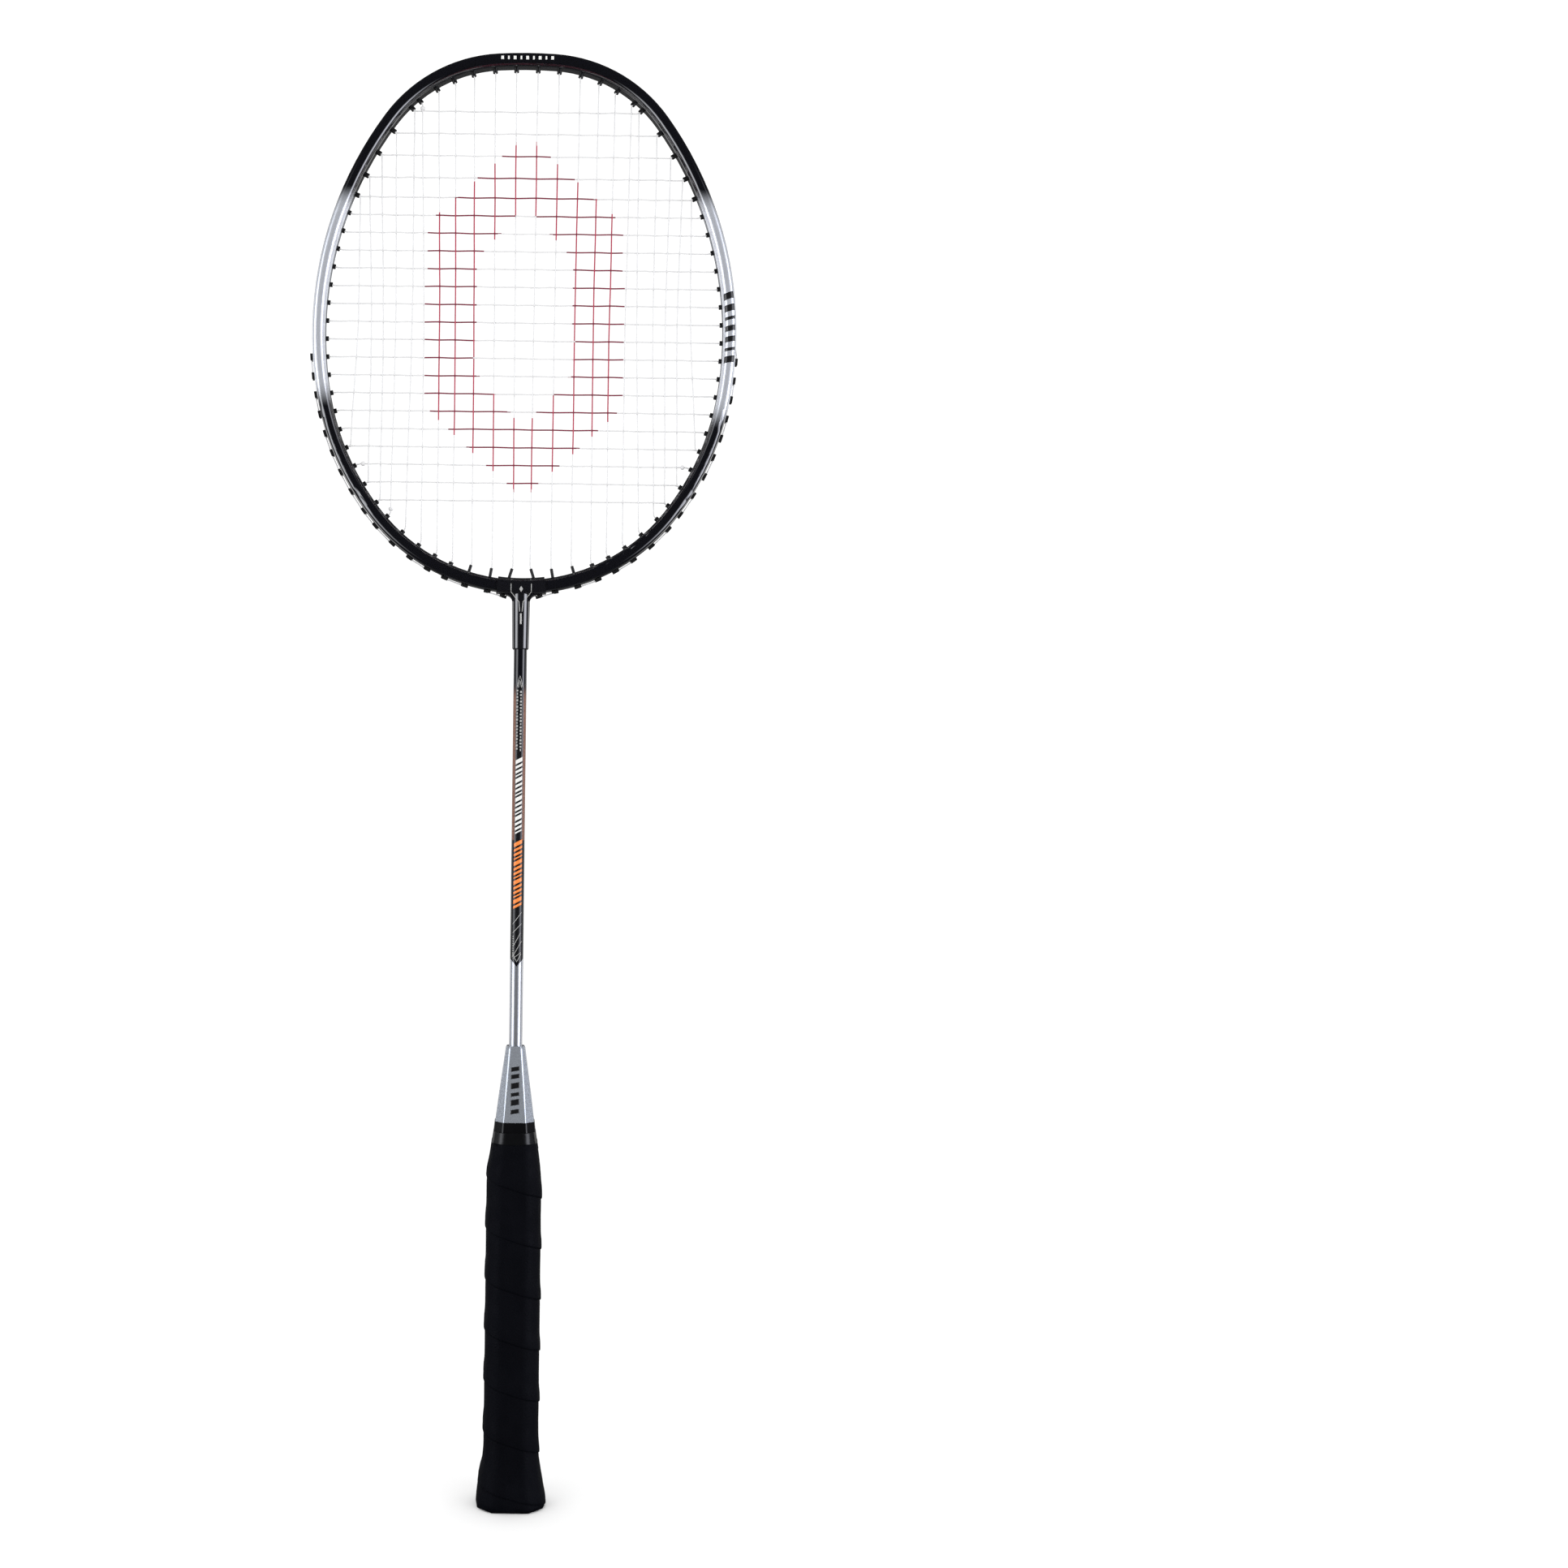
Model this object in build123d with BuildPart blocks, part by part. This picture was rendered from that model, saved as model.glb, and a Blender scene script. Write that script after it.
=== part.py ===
from build123d import *
from math import asin, cos, degrees, pi, radians, sin, tan
import os

# Badminton racket, millimetres. The butt stands on Z = 0 and the shaft runs up +Z to the head.
# The strings lie in the XZ plane, so +Y is square to the string bed.

# ---------------------------------------------------------------- driving dimensions
TOTAL_LENGTH = 675.0

# Head: the frame's outer edge from the crown round to the throat, as tangent arcs (radius, turn).
# One more arc, centred on the middle line, closes the outline at the throat.
HEAD_ARCS = [(220.0, 3.5), (70.0, 50.5), (172.0, 46.0), (127.0, 28.5)]
TUBE_WIDTH = 6.2
TUBE_DEPTH = 10.2
TUBE_FRONT_FLAT = 3.6
TUBE_SIDE_FLAT = 5.2
TUBE_FLAT_SHIFT = 0.3
TUBE_EDGE_RADIUS = 2.4
CAVITY_WIDTH = 2.9
CAVITY_DEPTH = 7.6
CAVITY_SHIFT = 0.65
GROOVE_DEPTH = 1.6
GROOVE_WIDTH = 3.2
GROOVE_STOP = 4.1

# Strings. The mains run up the head in front of the middle plane and the crosses behind it.
STRING_DIAMETER = 0.66
STRING_LAYER = 0.34
BEND_START = 1.2
STRAIGHT_ENOUGH = 0.5
TAIL_LENGTH = 2.6
KNOT_RADIUS = 1.05
KNOT_LENGTH = 1.45
KNOT_CLEARANCE = 0.02
CLIMB_END = 2.6
CLIMB_DROP = 0.08
SUNK_LOOP_LIFT = 0.36
PROUD_LOOP_LIFT = 0.12
TOP_MAINS = [5.0, 14.8, 24.6, 33.3, 41.0, 48.6]
BOTTOM_MAINS = [61.2, 54.2, 46.8, 39.4, 32.1, 23.1, 13.7]
FIRST_CROSS = 648.2
CROSS_GAPS = [10.3] * 3 + [9.2] + [8.3] * 17
SHARED_AT_THE_BOTTOM = {19: 11, 21: 10, 22: 9}
SUNK_CROSSES = 13

# Grommets
BARREL_RADIUS = 1.12
BORE_RADIUS = 0.72
MOUTH_RADIUS = 1.2
MOUTH_DEPTH = 0.5
TIP_PROUD = 1.35
TALL_TIP_PROUD = 2.0
STRIP_THICKNESS = 0.45
STRIP_WIDTH = 3.0
STRIP_END = 2.4
BARREL_ROOT = 0.1
TAB_SIZE = 3.2
TAB_HEIGHT = 1.15
SADDLE_WIDTH = 2.4
SADDLE_DEPTH = 0.75
LONG_BARREL_RADIUS = 0.72
LONG_BORE_RADIUS = 0.42
LONG_TIPS = {3: 6.4, 2: 7.3, 1: 8.5}
FIRST_MAIN_AT_THROAT = 6.9
FIRST_MAIN_SLANT = 12.8
SLANTED_TAB_LIFT = 0.45

# T-joint
SLEEVE_LENGTH = 22.3
SLEEVE_WALL = 0.85
STEM_BOTTOM = 397.8
STEM_END_DIAMETER = 7.7
STEM_ROOT_DIAMETER = 8.5
GUSSET_RADIUS = 3.0
GUSSET_ROOT = 0.1
GUSSET_THICKNESS = 6.4
STEM_CHAMFER = 0.5
SOCKET_DEPTH = 20.3

# Shaft
SHAFT_DIAMETER = 6.1
SHAFT_BORE = 4.5
SHAFT_BOTTOM = 96.0

# Handle
BUTT_CAP_THICKNESS = 1.5
BUTT_CHAMFER = 0.4
HANDLE_WIDTH = 24.0
HANDLE_THINNER = 3.5
BUTT_FLARE = 6.6
FLARE_LENGTH = 28.0
WRAP_BOTTOM = 0.5
WRAP_TOP = 169.0
TAPE_TOP = 174.0
COLLAR_TOP = 178.6
CONE_TOP = 213.4
SPIGOT_TOP = 194.0
SPIGOT_RADIUS = 5.0
SPIGOT_ROOT_RADIUS = 6.0
WRAP_THICKNESS = 1.05
TAPE_THICKNESS = 0.6
COLLAR_STEP = 0.1
CORNER_SHARE = 0.22
EDGE_SHARE = 0.05
COLLAR_EDGE_SHARE = 0.09
TIP_EDGE_SHARE = 0.21
# Width of the wood up its flared butt and its shoulder, and of the cone, at these heights
FLARE_HEIGHTS = [BUTT_CAP_THICKNESS, 6.0, 11.0, 16.0, 21.0, FLARE_LENGTH]
HANDLE_STATIONS = [(150.0, HANDLE_WIDTH), (156.0, 23.2), (162.0, 21.7), (168.0, 20.1), (TAPE_TOP, 18.5)]
COLLAR_WIDTH = 18.5
CONE_TIP_WIDTH = 8.1
CONE_STATIONS = [(COLLAR_TOP, 18.0), (190.0, 15.15), (212.5, 9.05), (CONE_TOP, CONE_TIP_WIDTH)]

# Gaps left for glue, and between pieces that only lie on each other
GLUE_GAP = 0.05

# A solid placed like this stands on its plane.
STANDING = (Align.CENTER, Align.CENTER, Align.MIN)

# ---------------------------------------------------------------- head centre line
HALF_WIDTH = TUBE_WIDTH / 2
TAB_BASE = HALF_WIDTH + GLUE_GAP
PROUD_LOOP = TAB_BASE + TAB_HEIGHT - SADDLE_DEPTH + PROUD_LOOP_LIFT + STRING_DIAMETER / 2
GROOVE_FLOOR = HALF_WIDTH - GROOVE_DEPTH
SUNK_LOOP = GROOVE_FLOOR + GLUE_GAP + STRIP_THICKNESS + SUNK_LOOP_LIFT + STRING_DIAMETER / 2
INNER_TIP = HALF_WIDTH + TIP_PROUD
TALL_TIP = HALF_WIDTH + TALL_TIP_PROUD
INNER_BEND = 1.3


def centre_arcs():
    """Arcs of half the tube's centre line as (centre x, centre z, radius, first turn, last turn)."""
    x = 0.0
    z = TOTAL_LENGTH - HALF_WIDTH
    turned = 0.0
    arcs = []
    for outer_radius, turn in HEAD_ARCS:
        radius = outer_radius - HALF_WIDTH
        centre_x = x - radius * sin(radians(turned))
        centre_z = z - radius * cos(radians(turned))
        arcs.append((centre_x, centre_z, radius, turned, turned + turn))
        turned += turn
        x = centre_x + radius * sin(radians(turned))
        z = centre_z + radius * cos(radians(turned))
    radius = x / sin(radians(turned))
    arcs.append((0.0, z - radius * cos(radians(turned)), radius, turned, 180.0))
    return arcs


ARCS = centre_arcs()


def head_point(turn, out=0.0):
    """(x, z) where the right half of the centre line has turned by this many degrees from the crown."""
    for centre_x, centre_z, radius, first, last in ARCS:
        if first <= turn <= last:
            break
    reach = radius + out
    return centre_x + reach * sin(radians(turn)), centre_z + reach * cos(radians(turn))


def turn_where(axis, value, low, high, out):
    """Turn between low and high at which x (axis 0) or z (axis 1) of head_point takes this value."""
    rising = head_point(high, out)[axis] > head_point(low, out)[axis]
    for _ in range(40):
        middle = (low + high) / 2
        if (head_point(middle, out)[axis] < value) == rising:
            low = middle
        else:
            high = middle
    return (low + high) / 2


def turn_beside(turn, distance):
    """Turn this many millimetres further along the centre line, clockwise seen from the front."""
    for _, _, radius, first, last in ARCS:
        if first <= abs(turn) <= last:
            return turn + degrees(distance / radius)


def head_path(first, last):
    """Centre line between two turns as arcs; a negative turn is on the left half."""
    joints = [arc[4] for arc in ARCS[:-1]]
    stops = sorted(turn for turn in joints + [-turn for turn in joints] if first < turn < last)
    stops = [first] + stops + [last]
    for start, end in zip(stops, stops[1:]):
        points = []
        for turn in (start, (start + end) / 2, end):
            x, z = head_point(abs(turn))
            points.append((x if turn >= 0 else -x, z))
        ThreePointArc(*points)


def section_plane(turn):
    """Plane across the tube at a turn: local X points out of the head, the normal runs along the tube."""
    x, z = head_point(abs(turn))
    side = 1 if turn >= 0 else -1
    out = Vector(side * sin(radians(abs(turn))), 0, cos(radians(turn)))
    along = Vector(cos(radians(turn)), 0, -side * sin(radians(abs(turn))))
    return Plane(origin=(side * x, 0, z), x_dir=out, z_dir=along)


def tube_section(plane, grow=0.0):
    """Rounded eight-sided section of the tube, its front and back flats shifted a little outwards."""
    width = TUBE_WIDTH / 2
    depth = TUBE_DEPTH / 2
    side = TUBE_SIDE_FLAT / 2
    outer = TUBE_FLAT_SHIFT + TUBE_FRONT_FLAT / 2
    inner = TUBE_FLAT_SHIFT - TUBE_FRONT_FLAT / 2
    with BuildSketch(plane) as section:
        Polygon(
            (width, side), (outer, depth), (inner, depth), (-width, side),
            (-width, -side), (inner, -depth), (outer, -depth), (width, -side),
            align=None,
        )
        fillet(section.vertices(), TUBE_EDGE_RADIUS)
        if grow:
            offset(amount=grow)
    return section.sketch


# ---------------------------------------------------------------- grommet holes
class StringHole:
    """A grommet hole of the frame on one side, its axis pointing out of the head."""

    def __init__(self, turn, side, slant=0.0, tip=INNER_TIP, loop=SUNK_LOOP, layer=0.0):
        self.turn = turn
        self.side = side
        x, z = head_point(turn)
        angle = radians(turn - slant)
        out = Vector(side * sin(angle), 0, cos(angle))
        along = Vector(cos(angle), 0, -side * sin(angle))
        self.plane = Plane(origin=(side * x, layer, z), x_dir=along, z_dir=out)
        self.tip = tip
        self.loop = loop

    def at(self, height):
        """(x, z) on the hole's axis, this far out from the centre line."""
        point = self.plane.origin + self.plane.z_dir * height
        return point.X, point.Z

    def inside(self):
        return self.at(-self.tip - INNER_BEND)

    def outside(self):
        return self.at(self.loop)


def cross_height(number):
    return FIRST_CROSS - sum(CROSS_GAPS[: number - 1])


def string_holes(side):
    """Holes of one side, keyed by the main and by the cross that use them."""
    mains_top = {}
    mains_bottom = {}
    crosses = {}
    for number, x in enumerate(TOP_MAINS, 1):
        turn = turn_where(0, x, 0, 60, -INNER_TIP - INNER_BEND)
        mains_top[number] = StringHole(turn, side)
    for number in range(1, 23):
        turn = turn_where(1, cross_height(number), 20, 150, -INNER_TIP - INNER_BEND)
        loop = SUNK_LOOP if number <= SUNK_CROSSES else PROUD_LOOP
        crosses[number] = StringHole(turn, side, loop=loop)
        if number <= 5:
            mains_top[number + 6] = crosses[number]
        if number in SHARED_AT_THE_BOTTOM:
            mains_bottom[SHARED_AT_THE_BOTTOM[number]] = crosses[number]
    for number, x in zip(range(8, 1, -1), BOTTOM_MAINS):
        tip = LONG_TIPS.get(number, INNER_TIP)
        turn = turn_where(0, x, 120, 180, -tip - INNER_BEND)
        layer = -STRING_LAYER if number in LONG_TIPS else 0.0
        mains_bottom[number] = StringHole(turn, side, tip=tip, loop=PROUD_LOOP, layer=layer)
    turn = turn_where(0, FIRST_MAIN_AT_THROAT, 120, 180, 0.0)
    loop = PROUD_LOOP + SLEEVE_WALL + SLANTED_TAB_LIFT
    mains_bottom[1] = StringHole(turn, side, FIRST_MAIN_SLANT, LONG_TIPS[1], loop, -STRING_LAYER)
    return mains_top, mains_bottom, crosses


LEFT = string_holes(-1)
RIGHT = string_holes(1)


def planes(holes, height=0.0):
    return [hole.plane.offset(height) for hole in holes]


sunk_holes = []
proud_holes = []
long_holes = []
for mains_top, mains_bottom, crosses in (LEFT, RIGHT):
    sunk_holes += [mains_top[n] for n in range(1, 7)]
    sunk_holes += [crosses[n] for n in range(1, SUNK_CROSSES + 1)]
    proud_holes += [crosses[n] for n in range(SUNK_CROSSES + 1, 23)]
    proud_holes += [mains_bottom[n] for n in range(4, 9)]
    long_holes += [mains_bottom[n] for n in (1, 2, 3)]

# The groove runs out on the sides, between the last sunk cross and the first proud tab.
groove_end = turn_beside(RIGHT[2][SUNK_CROSSES + 1].turn, -GROOVE_STOP)

# ---------------------------------------------------------------- head frame
with BuildPart() as head_frame:
    with BuildLine(Plane.XZ) as ring:
        head_path(-180, 180)
    with BuildSketch(section_plane(-180)):
        add(tube_section(Plane.XY))
        with Locations((-CAVITY_SHIFT, 0)):
            RectangleRounded(CAVITY_WIDTH, CAVITY_DEPTH, CAVITY_WIDTH / 2 - GLUE_GAP, mode=Mode.SUBTRACT)
    sweep(path=ring.wire())
    with BuildLine(Plane.XZ) as groove_route:
        head_path(-groove_end, groove_end)
    with BuildSketch(section_plane(-groove_end)):
        with Locations((GROOVE_FLOOR + GROOVE_DEPTH, 0)):
            Rectangle(2 * GROOVE_DEPTH, GROOVE_WIDTH)
    sweep(path=groove_route.wire(), mode=Mode.SUBTRACT)
    with Locations(*planes(sunk_holes + proud_holes)):
        Cylinder(BARREL_RADIUS + GLUE_GAP, 2 * TUBE_WIDTH, mode=Mode.SUBTRACT)
    with Locations(*planes(long_holes)):
        Cylinder(LONG_BARREL_RADIUS + GLUE_GAP, 2 * TUBE_WIDTH, mode=Mode.SUBTRACT)

# ---------------------------------------------------------------- T-joint
throat_z = head_point(180)[1]
sleeve_turn = 180 - degrees(asin(SLEEVE_LENGTH / 2 / ARCS[-1][2]))
stem_top = throat_z - HALF_WIDTH
sleeve_halves = [(sleeve_turn, 180), (-180, -sleeve_turn)]
with BuildPart() as t_joint:
    for first, last in sleeve_halves:
        with BuildLine(Plane.XZ) as sleeve_route:
            head_path(first, last)
        sweep(tube_section(section_plane(first), SLEEVE_WALL), path=sleeve_route.wire())
    with BuildSketch(Plane.XZ) as stem_profile:
        with BuildLine():
            Polyline(
                (0, STEM_BOTTOM),
                (STEM_END_DIAMETER / 2, STEM_BOTTOM),
                (STEM_ROOT_DIAMETER / 2, stem_top),
                (0, stem_top),
                close=True,
            )
        make_face()
    revolve(axis=Axis.Z)
    with BuildSketch(Plane.XZ.offset(-GUSSET_THICKNESS / 2)) as gusset_profile:
        with BuildLine():
            gusset_foot = stem_top - SLEEVE_WALL - GUSSET_RADIUS
            stem_side = STEM_ROOT_DIAMETER / 2 - GUSSET_ROOT
            gusset_curve = RadiusArc(
                (stem_side, gusset_foot),
                (stem_side + GUSSET_RADIUS, gusset_foot + GUSSET_RADIUS),
                GUSSET_RADIUS,
            )
            Polyline(gusset_curve @ 1, (stem_side + GUSSET_RADIUS, stem_top), (0, stem_top),
                     (0, gusset_foot), gusset_curve @ 0)
        make_face()
        mirror(about=Plane.YZ)
    extrude(amount=GUSSET_THICKNESS)
    chamfer(t_joint.edges().filter_by(GeomType.CIRCLE).sort_by(Axis.Z)[0], STEM_CHAMFER)
    for first, last in sleeve_halves:
        with BuildLine(Plane.XZ) as tunnel_route:
            head_path(first, last)
        sweep(tube_section(section_plane(first), GLUE_GAP), path=tunnel_route.wire(), mode=Mode.SUBTRACT)
    with Locations(Plane.XY.offset(STEM_BOTTOM)):
        Cylinder(
            SHAFT_DIAMETER / 2 + GLUE_GAP,
            SOCKET_DEPTH,
            align=STANDING,
            mode=Mode.SUBTRACT,
        )
    with Locations(*planes([LEFT[1][1], RIGHT[1][1]])):
        Cylinder(LONG_BARREL_RADIUS + GLUE_GAP, 3 * TUBE_WIDTH, mode=Mode.SUBTRACT)

pieces = {"head_frame": head_frame.part, "t_joint": t_joint.part}

# ---------------------------------------------------------------- shaft
with BuildPart() as shaft:
    with BuildSketch(Plane.XY.offset(SHAFT_BOTTOM)):
        Circle(SHAFT_DIAMETER / 2)
        Circle(SHAFT_BORE / 2, mode=Mode.SUBTRACT)
    extrude(amount=STEM_BOTTOM + SOCKET_DEPTH - GLUE_GAP - SHAFT_BOTTOM)
pieces["shaft"] = shaft.part


# ---------------------------------------------------------------- handle
def handle_depth(width):
    """The handle is thinner than wide at its full section, and as thick as wide at the cone's tip."""
    return width - HANDLE_THINNER * (width - CONE_TIP_WIDTH) / (HANDLE_WIDTH - CONE_TIP_WIDTH)


def octagon(z, width, grow=0.0, round_share=0.0):
    """Eight-sided handle section at a height; grow is added on every side."""
    across = width + 2 * grow
    deep = handle_depth(width) + 2 * grow
    with BuildSketch(Plane.XY.offset(z)) as section:
        Rectangle(across, deep)
        chamfer(section.vertices(), CORNER_SHARE * across)
        if round_share:
            fillet(section.vertices(), round_share * across)
    return section.sketch


def flare_width(z):
    """Width of the wood from the straight handle down to the flared butt."""
    return HANDLE_WIDTH + BUTT_FLARE * (1 + cos(pi * min(z / FLARE_LENGTH, 1))) / 2


def shoulder_width(z):
    """Width of the wood between the stations of its tapered top."""
    for (low, wide), (high, narrow) in zip(HANDLE_STATIONS, HANDLE_STATIONS[1:]):
        if z <= high:
            return wide + (narrow - wide) * (z - low) / (high - low)


flare_stations = [(z, flare_width(z)) for z in FLARE_HEIGHTS]

with BuildPart() as handle_core:
    for z, width in flare_stations + HANDLE_STATIONS:
        add(octagon(z, width))
    loft(ruled=True)
    with Locations((0, 0, TAPE_TOP)):
        Cone(SPIGOT_ROOT_RADIUS, SPIGOT_RADIUS, SPIGOT_TOP - TAPE_TOP, align=STANDING)
    with Locations((0, 0, SHAFT_BOTTOM - 1)):
        Cylinder(
            SHAFT_DIAMETER / 2 + GLUE_GAP,
            SPIGOT_TOP - SHAFT_BOTTOM + 1,
            align=STANDING,
            mode=Mode.SUBTRACT,
        )
pieces["handle_core"] = handle_core.part

with BuildPart() as butt_cap:
    add(octagon(0, flare_width(BUTT_CAP_THICKNESS)))
    extrude(amount=BUTT_CAP_THICKNESS - GLUE_GAP)
    chamfer(butt_cap.faces().sort_by(Axis.Z)[0].edges(), BUTT_CHAMFER)
pieces["butt_cap"] = butt_cap.part

wrap_stations = flare_stations[1:] + [s for s in HANDLE_STATIONS if s[0] < WRAP_TOP]
wrap_stations = [(WRAP_BOTTOM, flare_width(BUTT_CAP_THICKNESS))] + flare_stations[:1] + wrap_stations
wrap_stations.append((WRAP_TOP, shoulder_width(WRAP_TOP)))
with BuildPart() as grip_wrap:
    for z, width in wrap_stations:
        add(octagon(z, width, grow=WRAP_THICKNESS))
    loft(ruled=True)
    for z, width in wrap_stations:
        add(octagon(z, width, grow=GLUE_GAP))
    loft(ruled=True, mode=Mode.SUBTRACT)
pieces["grip_wrap"] = grip_wrap.part

with BuildPart() as finishing_tape:
    tape_stations = [(z, shoulder_width(z)) for z in (WRAP_TOP + GLUE_GAP, TAPE_TOP)]
    for z, width in tape_stations:
        add(octagon(z, width, grow=TAPE_THICKNESS))
    loft(ruled=True)
    for z, width in tape_stations:
        add(octagon(z, width, grow=GLUE_GAP))
    loft(ruled=True, mode=Mode.SUBTRACT)
pieces["finishing_tape"] = finishing_tape.part

with BuildPart() as cone_collar:
    collar_foot = shoulder_width(TAPE_TOP) + 2 * (TAPE_THICKNESS - COLLAR_STEP)
    add(octagon(TAPE_TOP + GLUE_GAP, collar_foot, round_share=COLLAR_EDGE_SHARE))
    add(octagon(COLLAR_TOP - GLUE_GAP, COLLAR_WIDTH, round_share=COLLAR_EDGE_SHARE))
    loft(ruled=True)
    with Locations((0, 0, TAPE_TOP)):
        Cylinder(
            SPIGOT_ROOT_RADIUS + GLUE_GAP,
            COLLAR_TOP - TAPE_TOP,
            align=STANDING,
            mode=Mode.SUBTRACT,
        )
pieces["cone_collar"] = cone_collar.part

with BuildPart() as cone_cap:
    for z, width in CONE_STATIONS:
        share = EDGE_SHARE + (TIP_EDGE_SHARE - EDGE_SHARE) * (z - COLLAR_TOP) / (CONE_TOP - COLLAR_TOP)
        add(octagon(z, width, round_share=share))
    loft(ruled=True)
    with Locations((0, 0, COLLAR_TOP)):
        Cone(
            SPIGOT_ROOT_RADIUS + GLUE_GAP,
            SPIGOT_RADIUS + GLUE_GAP,
            SPIGOT_TOP - COLLAR_TOP + GLUE_GAP,
            align=STANDING,
            mode=Mode.SUBTRACT,
        )
        Cylinder(
            SHAFT_DIAMETER / 2 + GLUE_GAP,
            CONE_TOP - COLLAR_TOP,
            align=STANDING,
            mode=Mode.SUBTRACT,
        )
pieces["cone_cap"] = cone_cap.part


# ---------------------------------------------------------------- grommets
def cut_bores(holes, floor, bore, tip):
    """Bore the barrels through and open their outer mouths, so that a string can turn in them."""
    with Locations(*planes(holes, -tip)):
        Cylinder(bore, 4 * TUBE_WIDTH, align=STANDING, mode=Mode.SUBTRACT)
    with Locations(*planes(holes, floor - MOUTH_DEPTH)):
        Cone(bore, MOUTH_RADIUS, MOUTH_DEPTH, align=STANDING, mode=Mode.SUBTRACT)


def grommet_strip(holes, tip=INNER_TIP):
    """Barrels on one strip that lies in the frame's groove."""
    turns = [hole.turn * hole.side for hole in holes]
    first = turn_beside(min(turns), -STRIP_END)
    last = turn_beside(max(turns), STRIP_END)
    floor = GROOVE_FLOOR + GLUE_GAP
    with BuildPart() as strip:
        with BuildLine(Plane.XZ) as route:
            head_path(first, last)
        with BuildSketch(section_plane(first)):
            with Locations((floor + STRIP_THICKNESS / 2, 0)):
                Rectangle(STRIP_THICKNESS, STRIP_WIDTH)
        sweep(path=route.wire())
        with Locations(*planes(holes, -tip)):
            Cylinder(BARREL_RADIUS, floor + tip + BARREL_ROOT, align=STANDING)
        cut_bores(holes, floor + STRIP_THICKNESS, BORE_RADIUS, tip)
    return strip.part


def single_grommets(holes, barrel=BARREL_RADIUS, bore=BORE_RADIUS):
    """Separate grommets, each with a saddle tab that carries the string outside the frame."""
    with BuildPart() as group:
        for hole in holes:
            base = TAB_BASE + hole.loop - PROUD_LOOP
            with Locations(hole.plane.offset(-hole.tip)):
                Cylinder(barrel, hole.tip + base + BARREL_ROOT, align=STANDING)
            with Locations(hole.plane.offset(base)):
                Box(TAB_SIZE, TAB_SIZE, TAB_HEIGHT, align=STANDING)
            with Locations(hole.plane.offset(base + TAB_HEIGHT - SADDLE_DEPTH)):
                Box(
                    TAB_SIZE,
                    SADDLE_WIDTH,
                    SADDLE_DEPTH,
                    align=STANDING,
                    mode=Mode.SUBTRACT,
                )
            cut_bores([hole], base + TAB_HEIGHT - SADDLE_DEPTH, bore, hole.tip)
    return group.part


crown_holes = [LEFT[0][n] for n in range(6, 0, -1)] + [RIGHT[0][n] for n in range(1, 7)]
pieces["crown_grommet_strip"] = grommet_strip(crown_holes, TALL_TIP)
for name, (mains_top, mains_bottom, crosses) in {"left": LEFT, "right": RIGHT}.items():
    pieces[f"shoulder_grommet_strip_{name}"] = grommet_strip([crosses[n] for n in range(1, 6)], TALL_TIP)
    pieces[f"side_grommet_strip_{name}"] = grommet_strip([crosses[n] for n in range(6, SUNK_CROSSES + 1)])
    pieces[f"flank_grommets_{name}"] = single_grommets([crosses[n] for n in range(SUNK_CROSSES + 1, 19)])
    pieces[f"corner_grommets_{name}"] = single_grommets([crosses[n] for n in range(19, 23)])
    pieces[f"bottom_grommets_{name}"] = single_grommets([mains_bottom[n] for n in range(8, 3, -1)])
    pieces[f"throat_grommets_{name}"] = single_grommets(
        [mains_bottom[n] for n in (3, 2, 1)], LONG_BARREL_RADIUS, LONG_BORE_RADIUS
    )


# ---------------------------------------------------------------- strings
def without_straight_corners(corners):
    """Leave out each corner where the string hardly turns, as where it runs straight through a grommet."""
    kept = corners[:1]
    for corner, after in zip(corners[1:], corners[2:]):
        if turn_at(kept[-1], corner, after) > STRAIGHT_ENOUGH:
            kept.append(corner)
    return kept + corners[-1:]


def turn_at(before, corner, after):
    """Degrees that the string turns at a corner."""
    return (Vector(*corner) - Vector(*before)).get_angle(Vector(*after) - Vector(*corner))


def tie_direction(hole, other):
    """Direction from a hole's inner side along the string that runs to the other hole."""
    return (Vector(*other.inside()) - Vector(*hole.inside())).normalized()


def string_corners(start, runs, end):
    """Route of one string: its tied start, across the head from hole to hole, and its tied end."""
    tied = []
    for hole, other in (start, end):
        tail = Vector(*hole.inside()) + tie_direction(hole, other) * TAIL_LENGTH
        tied.append([(tail.X, tail.Y), hole.inside(), hole.outside()])
    corners = tied[0]
    for hole_in, hole_out in runs:
        if corners[-1] == climb_start:
            corners.append(climb_end)
        corners += [hole_in.outside(), hole_in.inside(), hole_out.inside(), hole_out.outside()]
    return without_straight_corners(corners + tied[1][::-1])


def string_solid(corners, layer):
    """The string's round section swept along its corners; every bend starts the same way from its corner."""
    radii = []
    for before, corner, after in zip(corners, corners[1:], corners[2:]):
        radii.append(BEND_START / tan(radians(turn_at(before, corner, after)) / 2))
    with BuildPart() as string:
        with BuildLine(Plane.XZ.offset(-layer)) as route:
            FilletPolyline(*corners, radius=radii)
        path = route.wire()
        with BuildSketch(Plane(path @ 0, z_dir=path % 0)):
            Circle(STRING_DIAMETER / 2)
        sweep(path=path)
    tube = path.length * pi * STRING_DIAMETER**2 / 4
    print(f"string {path.length:.0f} mm, bends of {min(radii):.2f} mm or more, "
          f"volume {string.part.volume:.1f} of {tube:.1f}")
    return string.part


# Where the crosses change from the sunk groove to the proud tabs, the string climbs before the tab.
last_sunk = RIGHT[2][SUNK_CROSSES]
first_proud = RIGHT[2][SUNK_CROSSES + 1]
climb_start = last_sunk.outside()
climb_end = head_point(turn_beside(first_proud.turn, -CLIMB_END), PROUD_LOOP - CLIMB_DROP)

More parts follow.
